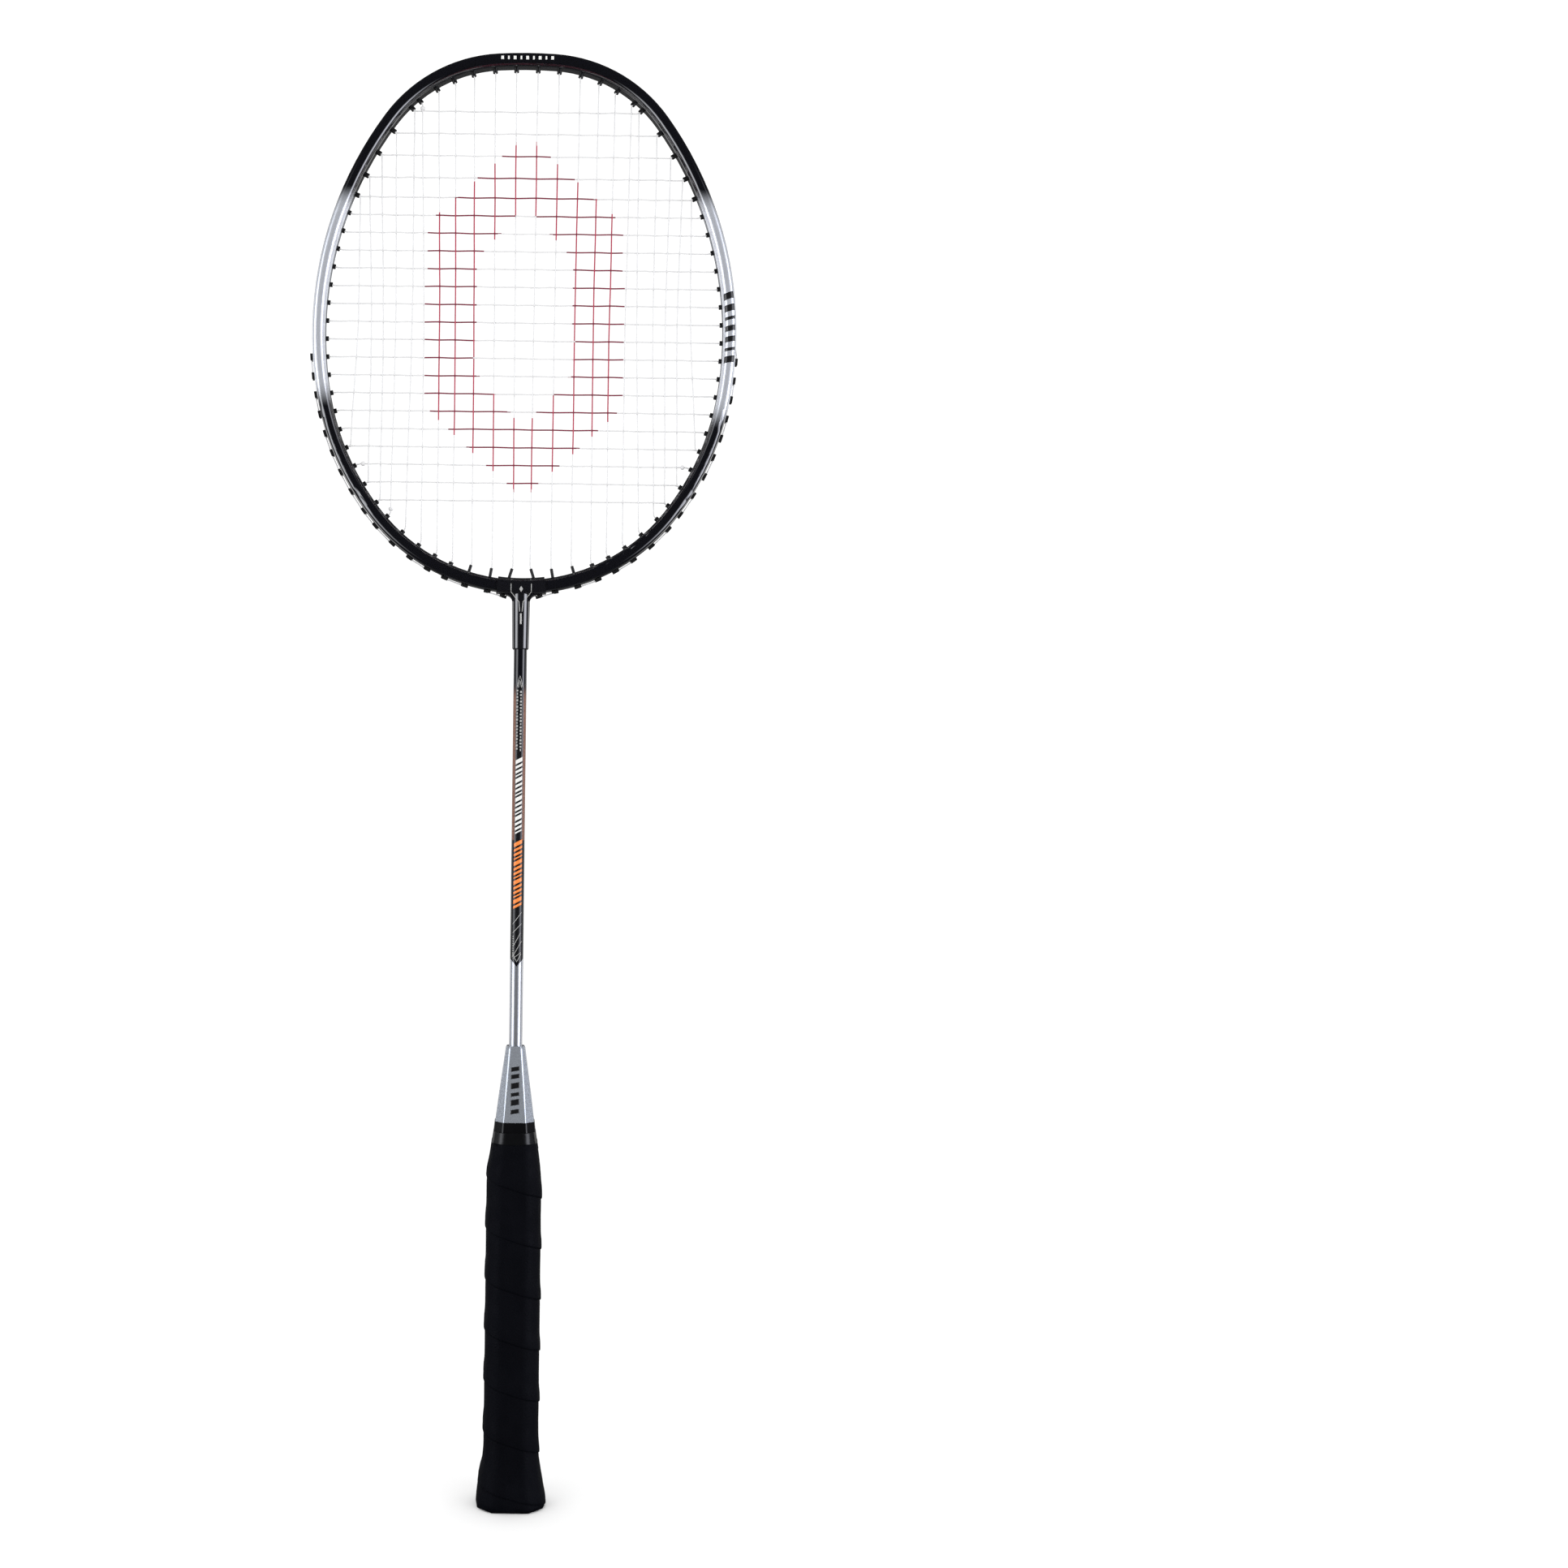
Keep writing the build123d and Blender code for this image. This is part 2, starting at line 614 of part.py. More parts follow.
columns = [(LEFT[0][n], LEFT[1][n]) for n in range(11, 0, -1)]
columns += [(RIGHT[0][n], RIGHT[1][n]) for n in range(1, 12)]
main_runs = [column if index % 2 else column[::-1] for index, column in enumerate(columns)]
rows = [(LEFT[2][n], RIGHT[2][n]) for n in range(1, 23)]
cross_runs = [row[::-1] if index % 2 else row for index, row in enumerate(rows)]

main_ties = [(LEFT[2][20], RIGHT[2][20]), (RIGHT[2][20], LEFT[2][20])]
cross_ties = [(LEFT[0][6], LEFT[1][6]), (LEFT[1][8], LEFT[0][8])]
pieces["main_string"] = string_solid(string_corners(main_ties[0], main_runs, main_ties[1]), -STRING_LAYER)
pieces["cross_string"] = string_solid(string_corners(cross_ties[0], cross_runs, cross_ties[1]), STRING_LAYER)

knot_planes = []
for hole, other in main_ties + cross_ties:
    x, z = hole.inside()
    towards = tie_direction(hole, other)
    knot_planes.append(Plane(origin=(x, 0, z), x_dir=(0, 1, 0), z_dir=(towards.X, 0, towards.Y)))

with BuildPart() as tie_off_knots:
    with Locations(*[plane.offset(BEND_START + GLUE_GAP) for plane in knot_planes]):
        Cylinder(KNOT_RADIUS, KNOT_LENGTH, align=STANDING)
    fillet(tie_off_knots.edges().filter_by(GeomType.CIRCLE), KNOT_RADIUS / 3)
    with Locations(*knot_planes):
        with Locations((-STRING_LAYER, 0), (STRING_LAYER, 0)):
            Cylinder(STRING_DIAMETER / 2 + KNOT_CLEARANCE, 4 * KNOT_LENGTH, mode=Mode.SUBTRACT)
pieces["tie_off_knots"] = tie_off_knots.part

for label, part in pieces.items():
    part.label = label
os.makedirs("parts", exist_ok=True)
for label, part in pieces.items():
    export_step(part, f"parts/{label}.step")
    print(f"{label}: {part.volume:.1f} mm3 in {len(part.solids())} solids, valid: {part.is_valid}")
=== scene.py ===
"""Looks of the badminton racket: woven strings, wound grip, lacquer, prints, studio and camera.

The frame is the part's: the butt stands on Z = 0, the strings lie in the XZ plane and -Y is the front.
Sizes of the racket and its markings are in millimetres, as in the part, and times MM where a piece is made.
Materials, the studio and the camera are in metres.
"""

from itertools import cycle
from math import cos, degrees, pi, radians, sin

import bmesh
import bpy
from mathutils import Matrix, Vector, noise
from mathutils.bvhtree import BVHTree


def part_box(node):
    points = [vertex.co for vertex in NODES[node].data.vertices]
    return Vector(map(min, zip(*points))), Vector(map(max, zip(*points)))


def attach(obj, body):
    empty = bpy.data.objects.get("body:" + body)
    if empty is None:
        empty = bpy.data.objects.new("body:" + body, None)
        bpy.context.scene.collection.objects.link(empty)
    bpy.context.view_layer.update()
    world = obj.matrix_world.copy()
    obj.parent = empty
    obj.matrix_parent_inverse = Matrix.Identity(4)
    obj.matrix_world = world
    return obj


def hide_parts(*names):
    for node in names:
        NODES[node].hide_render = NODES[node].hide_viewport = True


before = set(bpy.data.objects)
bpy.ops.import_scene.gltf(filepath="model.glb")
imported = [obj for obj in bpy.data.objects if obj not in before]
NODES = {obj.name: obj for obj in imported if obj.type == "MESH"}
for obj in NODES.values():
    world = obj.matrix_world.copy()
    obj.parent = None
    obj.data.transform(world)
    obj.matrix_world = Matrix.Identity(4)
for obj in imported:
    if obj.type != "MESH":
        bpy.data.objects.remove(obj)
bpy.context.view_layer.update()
MM = 0.001
BODY = "root"
FRONT = -1
BACK = 1

# ---------------------------------------------------------------- driving dimensions, as in the part
TOTAL_LENGTH = 675.0
TUBE_WIDTH = 6.2
HEAD_ARCS = [(220.0, 3.5), (70.0, 50.5), (172.0, 46.0), (127.0, 28.5)]
SHAFT_RADIUS = 3.05
STRING_DIAMETER = 0.66
STRING_LAYER = 0.34
BEND_START = 1.2
TAIL_LENGTH = 2.6
INNER_TIP = 4.45
INNER_BEND = 1.3
SUNK_LOOP = 2.69
PROUD_LOOP = 4.0
CLIMB_END = 2.6
CLIMB_DROP = 0.08
TOP_MAINS = [5.0, 14.8, 24.6, 33.3, 41.0, 48.6]
BOTTOM_MAINS = [61.2, 54.2, 46.8, 39.4, 32.1, 23.1, 13.7]
FIRST_CROSS = 648.2
CROSS_GAPS = [10.3] * 3 + [9.2] + [8.3] * 17
SHARED_AT_THE_TOP = {1: 7, 2: 8, 3: 9, 4: 10, 5: 11}
SHARED_AT_THE_BOTTOM = {19: 11, 21: 10, 22: 9}
SUNK_CROSSES = 13
LONG_TIPS = {3: 6.4, 2: 7.3, 1: 8.5}
FIRST_MAIN_AT_THROAT = 6.9
FIRST_MAIN_SLANT = 12.8
FIRST_MAIN_LOOP = 5.3


# ---------------------------------------------------------------- small tools
def add_mesh(name, vertices, faces, materials):
    """A new smooth piece on the racket from lists of vertices and faces."""
    mesh = bpy.data.meshes.new(name)
    mesh.from_pydata([tuple(v) for v in vertices], [], faces)
    mesh.validate()
    for material in materials:
        mesh.materials.append(material)
    for polygon in mesh.polygons:
        polygon.use_smooth = True
    piece = bpy.data.objects.new(name, mesh)
    bpy.context.scene.collection.objects.link(piece)
    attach(piece, BODY)
    return piece


def edit_mesh(mesh, edit):
    """Runs an edit on a mesh through bmesh."""
    bm = bmesh.new()
    bm.from_mesh(mesh)
    edit(bm)
    bm.to_mesh(mesh)
    bm.free()


def tube(points, radius, sides):
    """Vertices and faces of a closed round tube along points."""
    vertices, faces = [], []
    normal = (points[1] - points[0]).normalized().orthogonal().normalized()
    last = len(points) - 1
    for i, point in enumerate(points):
        tangent = (points[min(i + 1, last)] - points[max(i - 1, 0)]).normalized()
        normal = (normal - tangent * normal.dot(tangent)).normalized()
        side = tangent.cross(normal)
        for k in range(sides):
            angle = 2 * pi * k / sides
            vertices.append(point + (normal * cos(angle) + side * sin(angle)) * radius)
        if i:
            base = (i - 1) * sides
            for k in range(sides):
                after = (k + 1) % sides
                faces.append((base + k, base + after, base + sides + after, base + sides + k))
    faces.append(tuple(reversed(range(sides))))
    faces.append(tuple(range(last * sides, (last + 1) * sides)))
    return vertices, faces


def limited(value, low, high):
    return min(max(value, low), high)


# ---------------------------------------------------------------- node trees
class Nodes:
    """A material's node tree, with short calls for the nodes that finishes and lights share."""

    def __init__(self, name):
        self.material = bpy.data.materials.new(name)
        self.material.use_nodes = True
        self.tree = self.material.node_tree

    def new(self, kind):
        return self.tree.nodes.new("ShaderNode" + kind)

    def put(self, socket, value):
        if isinstance(value, bpy.types.NodeSocket):
            self.tree.links.new(value, socket)
        else:
            socket.default_value = value

    def coordinates(self, kind="Object"):
        return self.new("TexCoord").outputs[kind]

    def maths(self, operation, a, b=0.0):
        node = self.new("Math")
        node.operation = operation
        self.put(node.inputs[0], a)
        self.put(node.inputs[1], b)
        return node.outputs[0]

    def product(self, a, b):
        return self.maths("MULTIPLY", a, b)

    def axes(self, place):
        node = self.new("SeparateXYZ")
        self.put(node.inputs[0], place)
        return node.outputs

    def ramp(self, value, low, high, to_low=0.0, to_high=1.0, smooth=False):
        node = self.new("MapRange")
        if smooth:
            node.interpolation_type = "SMOOTHSTEP"
        for socket, number in zip(node.inputs, (value, low, high, to_low, to_high)):
            self.put(socket, number)
        return node.outputs[0]


class Paint(Nodes):
    """A finish on the Principled shader; keyword arguments name its sockets."""

    def __init__(self, name, **inputs):
        super().__init__(name)
        self.shader = self.tree.nodes["Principled BSDF"]
        for key, value in inputs.items():
            socket = key.replace("_", " ").title().replace("Ior", "IOR")
            self.shader.inputs[socket].default_value = value
        self.place = self.coordinates()

    def set(self, name, value):
        self.put(self.shader.inputs[name], value)

    def stretched(self, scale):
        node = self.new("Mapping")
        self.put(node.inputs["Vector"], self.place)
        node.inputs["Scale"].default_value = scale
        return node.outputs[0]

    def noise(self, scale, detail=2.0, place=None):
        node = self.new("TexNoise")
        self.put(node.inputs["Vector"], place or self.place)
        node.inputs["Scale"].default_value = scale
        node.inputs["Detail"].default_value = detail
        return node.outputs[0]

    def cells(self, scale, feature="F1", output="Distance"):
        node = self.new("TexVoronoi")
        node.feature = feature
        self.put(node.inputs["Vector"], self.place)
        node.inputs["Scale"].default_value = scale
        return node.outputs[output]

    def mix(self, share, a, b):
        node = self.new("Mix")
        node.data_type = "RGBA"
        self.put(node.inputs["Factor"], share)
        self.put(node.inputs[6], (*a, 1) if isinstance(a, tuple) else a)
        self.put(node.inputs[7], (*b, 1) if isinstance(b, tuple) else b)
        return node.outputs[2]

    def rough_between(self, texture, smoothest, roughest):
        """Roughness that follows the middle of a noise's range."""
        self.set("Roughness", self.ramp(texture, 0.3, 0.7, smoothest, roughest))

    def bump(self, height, distance, strength=1.0, after=None):
        node = self.new("Bump")
        node.inputs["Distance"].default_value = distance
        node.inputs["Strength"].default_value = strength
        self.put(node.inputs["Height"], height)
        if after is not None:
            self.put(node.inputs["Normal"], after)
        self.set("Normal", node.outputs[0])
        return node.outputs[0]


def dress(material, *names):
    """Gives CAD nodes their finish."""
    for name in names:
        mesh = NODES[name].data
        mesh.materials.clear()
        mesh.materials.append(material)


# ---------------------------------------------------------------- finishes, in metres
BLACK = (0.0028, 0.0029, 0.0052)
SMUDGED_BLACK = (0.007, 0.007, 0.0095)
SILVER = (0.56, 0.58, 0.63)
PEARL = (0.76, 0.79, 0.86)
COPPER = (0.30, 0.15, 0.105)
FULL_COAT = {"coat_weight": 1.0, "coat_roughness": 0.03, "coat_ior": 1.85, "specular_ior_level": 0.3}
THIN_COAT = {"coat_weight": 0.3, "coat_roughness": 0.08, "coat_ior": 1.85, "specular_ior_level": 0.3}


def orange_peel(paint):
    paint.bump(paint.noise(420, 3), 0.00002, 0.35)


def frame_lacquer():
    """Black, with both flanks of the head in pearl silver that fades in and out."""
    fade_at_top = (0.599, 0.612)
    foot_left, foot_right = 0.516, 0.508
    fade_at_foot = (-0.007, 0.008)
    paint = Paint("frame_lacquer", **FULL_COAT)
    x, _, z = paint.axes(paint.place)
    upper = paint.ramp(z, *fade_at_top, 1.0, 0.0, True)
    foot = paint.ramp(x, -0.02, 0.02, foot_left, foot_right)
    lower = paint.ramp(paint.maths("SUBTRACT", z, foot), *fade_at_foot, 0.0, 1.0, True)
    silver = paint.product(upper, lower)
    flakes = paint.ramp(paint.cells(5200, output="Color"), 0.0, 1.0, 0.82, 1.12)
    paint.set("Base Color", paint.mix(paint.product(silver, flakes), BLACK, PEARL))
    paint.set("Metallic", paint.product(silver, 0.55))
    paint.set("Roughness", paint.ramp(silver, 0.0, 1.0, 0.16, 0.34))
    orange_peel(paint)
    return paint.material


def joint_lacquer():
    paint = Paint("t_joint_lacquer", **FULL_COAT)
    smudge = paint.noise(60, 4)
    paint.set("Base Color", paint.mix(smudge, BLACK, SMUDGED_BLACK))
    paint.rough_between(smudge, 0.14, 0.22)
    orange_peel(paint)
    return paint.material


def shaft_lacquer():
    """Black with copper flanks in its upper half, a dull film, and silver below a pointed edge."""
    copper_foot = (0.3085, 0.3095)
    copper_top = (0.374, 0.384)
    film_foot, film_top = (0.251, 0.255), (0.380, 0.384)
    silver_top, silver_rise = 0.2504, 0.0036
    paint = Paint("shaft_lacquer", **THIN_COAT)
    x, _, z = paint.axes(paint.place)
    across = paint.maths("DIVIDE", paint.maths("ABSOLUTE", x), SHAFT_RADIUS * MM)
    flank = paint.ramp(across, 0.58, 0.62)
    copper = paint.product(paint.ramp(z, *copper_foot), paint.ramp(z, *copper_top, 1.0, 0.0, True))
    copper = paint.product(flank, copper)
    edge = paint.maths("ADD", silver_top, paint.product(across, silver_rise))
    silver = paint.maths("LESS_THAN", z, edge)
    flakes = paint.ramp(paint.cells(6000, output="Color"), 0.0, 1.0, 0.8, 1.15)
    colour = paint.mix(silver, paint.mix(copper, BLACK, COPPER), SILVER)
    metal = paint.maths("MAXIMUM", copper, silver)
    paint.set("Base Color", paint.mix(paint.product(metal, flakes), BLACK, colour))
    paint.set("Metallic", paint.product(metal, 0.8))
    film = paint.product(paint.ramp(z, *film_top, 1.0, 0.0), paint.ramp(z, *film_foot))
    gloss = paint.ramp(metal, 0.0, 1.0, 0.12, 0.30)
    paint.set("Roughness", paint.maths("MAXIMUM", gloss, paint.product(film, 0.46)))
    orange_peel(paint)
    return paint.material


def cone_silver():
    dark_flake, light_flake = (0.40, 0.43, 0.48), (0.53, 0.57, 0.64)
    paint = Paint("cone_silver", metallic=0.62, coat_weight=0.5, coat_roughness=0.1)
    flakes = paint.cells(5600, output="Color")
    paint.set("Base Color", paint.mix(paint.ramp(flakes, 0, 1), dark_flake, light_flake))
    paint.rough_between(paint.noise(900, 3), 0.24, 0.32)
    paint.bump(flakes, 0.000012, 0.5)
    return paint.material


def moulded(name, colour, roughness, grain_depth=0.000012, level=0.5):
    """Moulded or satin plastic: fine grain, slightly uneven gloss."""
    paint = Paint(name, specular_ior_level=level)
    cloud = paint.noise(45, 4)
    lighter = tuple(min(1.0, c * 1.9 + 0.002) for c in colour)
    paint.set("Base Color", paint.mix(cloud, colour, lighter))
    paint.rough_between(cloud, roughness, roughness + 0.12)
    paint.bump(paint.noise(1400, 3), grain_depth, 0.6)
    return paint.material


def grip_polymer():
    """Tacky wrap: leather-like grain with fine pores under a trace of sheen."""
    dark, light = (0.0011, 0.0013, 0.0026), (0.0021, 0.0025, 0.0050)
    paint = Paint("grip_polymer", sheen_weight=0.01, sheen_roughness=0.45, specular_ior_level=0.05)
    paint.set("Sheen Tint", (0.45, 0.5, 0.7, 1))
    paint.set("Base Color", paint.mix(paint.noise(38, 4), dark, light))
    paint.rough_between(paint.noise(160, 3), 0.5, 0.68)
    grain = paint.bump(paint.cells(1500, "SMOOTH_F1"), 0.00014, 0.9)
    paint.bump(paint.noise(5200, 2), 0.00003, 0.6, grain)
    return paint.material


def nylon(name, colour, roughness=0.3):
    """Braided nylon under a clear coating: fine strands show through."""
    paint = Paint(name, roughness=roughness, coat_weight=0.3, coat_roughness=0.12)
    paint.set("Base Color", (*colour, 1))
    paint.bump(paint.noise(2600, 2), 0.00002, 0.4)
    return paint.material


def ink(name, colour):
    paint = Paint(name, roughness=0.35, coat_weight=0.5, coat_roughness=0.05)
    paint.set("Base Color", (*colour, 1))
    paint.bump(paint.noise(2400, 2), 0.000004, 0.4)
    return paint.material


def wood():
    early, late = (0.62, 0.42, 0.24), (0.42, 0.26, 0.13)
    paint = Paint("softwood", roughness=0.6)
    rings = paint.noise(90, 4, paint.stretched((6, 6, 0.4)))
    paint.set("Base Color", paint.mix(rings, early, late))
    paint.bump(rings, 0.00008, 0.5)
    return paint.material


# ---------------------------------------------------------------- route of the strings
HALF_WIDTH = TUBE_WIDTH / 2
STRING_SIDES = 10
BEND_STEPS = 5
WEAVE_STEPS = 6
WEAVE_LIFT = 0.33
WEAVE_START = 3.4
WAIST = 0.9
WANDER = 0.16
WANDER_LENGTH = 26
MAINS = 22
CROSSES = 22


def centre_arcs():
    """Arcs of half the tube's centre line as (centre x, centre z, radius, first turn, last turn)."""
    x, z, turned = 0.0, TOTAL_LENGTH - HALF_WIDTH, 0.0
    arcs = []
    for outer_radius, turn in HEAD_ARCS:
        radius = outer_radius - HALF_WIDTH
        centre_x = x - radius * sin(radians(turned))
        centre_z = z - radius * cos(radians(turned))
        arcs.append((centre_x, centre_z, radius, turned, turned + turn))
        turned += turn
        x = centre_x + radius * sin(radians(turned))
        z = centre_z + radius * cos(radians(turned))
    radius = x / sin(radians(turned))
    arcs.append((0.0, z - radius * cos(radians(turned)), radius, turned, 180.0))
    return arcs


ARCS = centre_arcs()


def arc_at(turn):
    for arc in ARCS:
        if arc[3] <= turn <= arc[4]:
            return arc
    return ARCS[-1]


def turn_over(distance, turn):
    """Degrees that the centre line turns over a distance along it, near this turn."""
    return degrees(distance / arc_at(turn)[2])


def head_point(turn, out=0.0):
    """(x, z) where the right half of the centre line has turned by this many degrees from the crown."""
    centre_x, centre_z, radius, _, _ = arc_at(turn)
    reach = radius + out
    return Vector((centre_x + reach * sin(radians(turn)), centre_z + reach * cos(radians(turn))))


def turn_where(axis, value, low, high, out):
    """Turn between low and high at which x (axis 0) or z (axis 1) of head_point takes this value."""
    rising = head_point(high, out)[axis] > head_point(low, out)[axis]
    for _ in range(40):
        middle = (low + high) / 2
        if (head_point(middle, out)[axis] < value) == rising:
            low = middle
        else:
            high = middle
    return (low + high) / 2


class StringHole:
    """A grommet hole on one side; inside and outside are where a string turns into and out of it."""

    def __init__(self, turn, side, loop, slant=0.0, tip=INNER_TIP):
        angle = radians(turn - slant)
        out = Vector((side * sin(angle), cos(angle)))
        centre = head_point(turn)
        centre.x *= side
        self.turn = turn
        self.inside = centre - out * (tip + INNER_BEND)
        self.outside = centre + out * loop


def string_holes(side):
    """Holes of one side, keyed by the main and by the cross that use them."""
    mains_top, mains_bottom, crosses = {}, {}, {}
    for number, x in enumerate(TOP_MAINS, 1):
        turn = turn_where(0, x, 0, 60, -INNER_TIP - INNER_BEND)
        mains_top[number] = StringHole(turn, side, SUNK_LOOP)
    height = FIRST_CROSS
    for number, gap in enumerate(CROSS_GAPS + [0.0], 1):
        turn = turn_where(1, height, 20, 150, -INNER_TIP - INNER_BEND)
        crosses[number] = StringHole(turn, side, SUNK_LOOP if number <= SUNK_CROSSES else PROUD_LOOP)
        height -= gap
        if number in SHARED_AT_THE_TOP:
            mains_top[SHARED_AT_THE_TOP[number]] = crosses[number]
        if number in SHARED_AT_THE_BOTTOM:
            mains_bottom[SHARED_AT_THE_BOTTOM[number]] = crosses[number]
    for number, x in zip(range(8, 1, -1), BOTTOM_MAINS):
        tip = LONG_TIPS.get(number, INNER_TIP)
        turn = turn_where(0, x, 120, 180, -tip - INNER_BEND)
        mains_bottom[number] = StringHole(turn, side, PROUD_LOOP, tip=tip)
    turn = turn_where(0, FIRST_MAIN_AT_THROAT, 120, 180, 0.0)
    mains_bottom[1] = StringHole(turn, side, FIRST_MAIN_LOOP, FIRST_MAIN_SLANT, LONG_TIPS[1])
    return mains_top, mains_bottom, crosses


LEFT = string_holes(-1)
RIGHT = string_holes(1)
COLUMNS = [(LEFT[0][n], LEFT[1][n]) for n in range(MAINS // 2, 0, -1)]
COLUMNS += [(RIGHT[0][n], RIGHT[1][n]) for n in range(1, MAINS // 2 + 1)]
ROWS = [(LEFT[2][n], RIGHT[2][n]) for n in range(1, CROSSES + 1)]

# Where the crosses change from the sunk groove to the proud tabs, the string climbs before the tab.
LAST_SUNK = RIGHT[2][SUNK_CROSSES]
FIRST_PROUD = RIGHT[2][SUNK_CROSSES + 1]
CLIMB = head_point(FIRST_PROUD.turn - turn_over(CLIMB_END, FIRST_PROUD.turn), PROUD_LOOP - CLIMB_DROP)


def crossing(run, other):
    """Share of the way along run, from its first hole to its second, where it meets other, or None."""
    start, along = run[0].inside, run[1].inside - run[0].inside
    base, across = other[0].inside, other[1].inside - other[0].inside
    denominator = along.x * across.y - along.y * across.x
    apart = base - start
    share = (apart.x * across.y - apart.y * across.x) / denominator
    beside = (apart.x * along.y - apart.y * along.x) / denominator
    reach = WEAVE_START / along.length
    if reach < share < 1 - reach and 0 < beside < 1:
        return share
    return None


def weave_heights(run, index, others, layer):
    """(share of the way, height) of the run's flat ends and of each crossing, over and under in turn."""
    length = (run[1].inside - run[0].inside).length
    flat_start, hold = BEND_START / length, WEAVE_START / length
    knots = [(flat_start, layer), (hold, layer)]
    for number, other in enumerate(others):
        share = crossing(run, other)
        if share is not None:
            over = (index + number) % 2 == (layer < 0)
            knots.append((share, WEAVE_LIFT if over else -WEAVE_LIFT))
    return sorted(knots) + [(1 - hold, layer), (1 - flat_start, layer)]


def woven_run(run, index, others, layer):
    """Points across the head from a run's first hole to its second, over and under the other strings."""
    start, along = run[0].inside, run[1].inside - run[0].inside
    knots = weave_heights(run, index, others, layer)
    sideways = Vector((-along.y, along.x)).normalized()
    points = []
    for (share, height), (next_share, next_height) in zip(knots, knots[1:]):
        for step in range(WEAVE_STEPS):
            part = step / WEAVE_STEPS
            at = share + (next_share - share) * part
            place = start + along * at
            drift = noise.noise(Vector((index * 7.3, at * along.length / WANDER_LENGTH, layer * 40)))
            ease = sin(pi * at)
            place = place + sideways * drift * WANDER * min(1.0, 3 * ease)
            if layer < 0:
                place.x -= WAIST * ease**2 * place.x / 60
            y = height + (next_height - height) * (1 - cos(pi * part)) / 2
            points.append(Vector((place.x, y, place.y)))
    points.append(Vector((start.x + along.x * knots[-1][0], layer, start.y + along.y * knots[-1][0])))
    return points


def bend(before, corner, after, layer):
    """Points round a corner of the string outside the bed, or of its turn into a grommet."""
    into = corner - (corner - before).normalized() * min(BEND_START, (corner - before).length * 0.5)
    out = corner + (after - corner).normalized() * min(BEND_START, (after - corner).length * 0.5)
    points = []
    for step in range(BEND_STEPS + 1):
        t = step / BEND_STEPS
        place = into * (1 - t) ** 2 + corner * 2 * t * (1 - t) + out * t**2
        points.append(Vector((place.x, layer, place.y)))
    return points


def string_points(start, runs, end, others, layer):
    """Whole route of one string, from its tied start across every run to its tied end."""
    tied = []
    for tie in (start, end):
        tail = tie[0].inside + (tie[1].inside - tie[0].inside).normalized() * TAIL_LENGTH
        tied.append([tail, tie[0].inside, tie[0].outside])
    corners = [(place, None) for place in tied[0]]
    for index, run in enumerate(runs):
        if corners[-1][0] == LAST_SUNK.outside:
            corners.append((CLIMB, None))
        corners += [(run[0].outside, None), (run[0].inside, (run, index))]
        corners += [(run[1].inside, None), (run[1].outside, None)]
    corners += [(place, None) for place in reversed(tied[1])]
    points = [Vector((corners[0][0].x, layer, corners[0][0].y))]
    for (before, _), (corner, run), (after, _) in zip(corners, corners[1:], corners[2:]):
        points += bend(before, corner, after, layer)
        if run:
            points += woven_run(*run, others, layer)[1:-1]
    points.append(Vector((corners[-1][0].x, layer, corners[-1][0].y)))
    return [point * MM for point in points]


# Stencil on the strings: an upright six-sided ring, given as half its width and half its height
STENCIL_CENTRE = 553.0
STENCIL_OUTER = (46.0, 85.0)
STENCIL_INNER = (23.0, 52.0)
STRING_WHITE = (0.72, 0.72, 0.73)
CRIMSON = (0.41, 0.017, 0.058)
MAROON = (0.21, 0.013, 0.042)


def in_hexagon(x, z, size):
    wide, high = size
    return abs(x) <= wide and abs(z - STENCIL_CENTRE) <= high * (1 - 0.5 * abs(x) / wide)


def stencilled(x, z):
    return in_hexagon(x, z, STENCIL_OUTER) and not in_hexagon(x, z, STENCIL_INNER)


def make_string(name, points, plain, inked):
    vertices, faces = tube(points, STRING_DIAMETER / 2 * MM, STRING_SIDES)
    piece = add_mesh(name, vertices, faces, [plain, inked])
    for polygon in piece.data.polygons:
        centre = polygon.center / MM
        polygon.material_index = int(stencilled(centre.x, centre.z))
    return piece


def strings():
    """Mains and crosses, each one length woven through the other, with the stencil's ink on them."""
    white = nylon("string_white", STRING_WHITE)
    main_runs = [column if i % 2 else column[::-1] for i, column in enumerate(COLUMNS)]
    cross_runs = [row[::-1] if i % 2 else row for i, row in enumerate(ROWS)]
    main_ties = [(LEFT[2][20], RIGHT[2][20]), (RIGHT[2][20], LEFT[2][20])]
    cross_ties = [(LEFT[0][6], LEFT[1][6]), (LEFT[1][8], LEFT[0][8])]
    mains = string_points(main_ties[0], main_runs, main_ties[1], ROWS, -STRING_LAYER)
    crosses = string_points(cross_ties[0], cross_runs, cross_ties[1], COLUMNS, STRING_LAYER)
    piece = make_string("woven_main_string", mains, white, nylon("ink_crimson", CRIMSON, 0.4))
    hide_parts("main_string")
    piece = make_string("woven_cross_string", crosses, white, nylon("ink_maroon", MAROON, 0.4))
    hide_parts("cross_string")
    dress(white, "tie_off_knots")


# ---------------------------------------------------------------- surfaces round the handle
RAY_START = 0.05
CORNER_SMOOTHING = 7.0
CORNER_STEPS = (-1.5, -1, -0.5, 0, 0.5, 1, 1.5)
FACE_MARGIN = 0.1 * MM


def surface_of(name):
    mesh = NODES[name].data
    return BVHTree.FromPolygons([v.co for v in mesh.vertices], [tuple(p.vertices) for p in mesh.polygons])


def reach_of(surface, angle, z):
    """Distance from the axis to a surface's outer face, or None where the surface doesn't reach."""
    out = Vector((cos(angle), sin(angle), 0))
    hit = surface.ray_cast(Vector((0, 0, z)) + out * RAY_START, -out)[0]
    return Vector((hit.x, hit.y)).length if hit else None


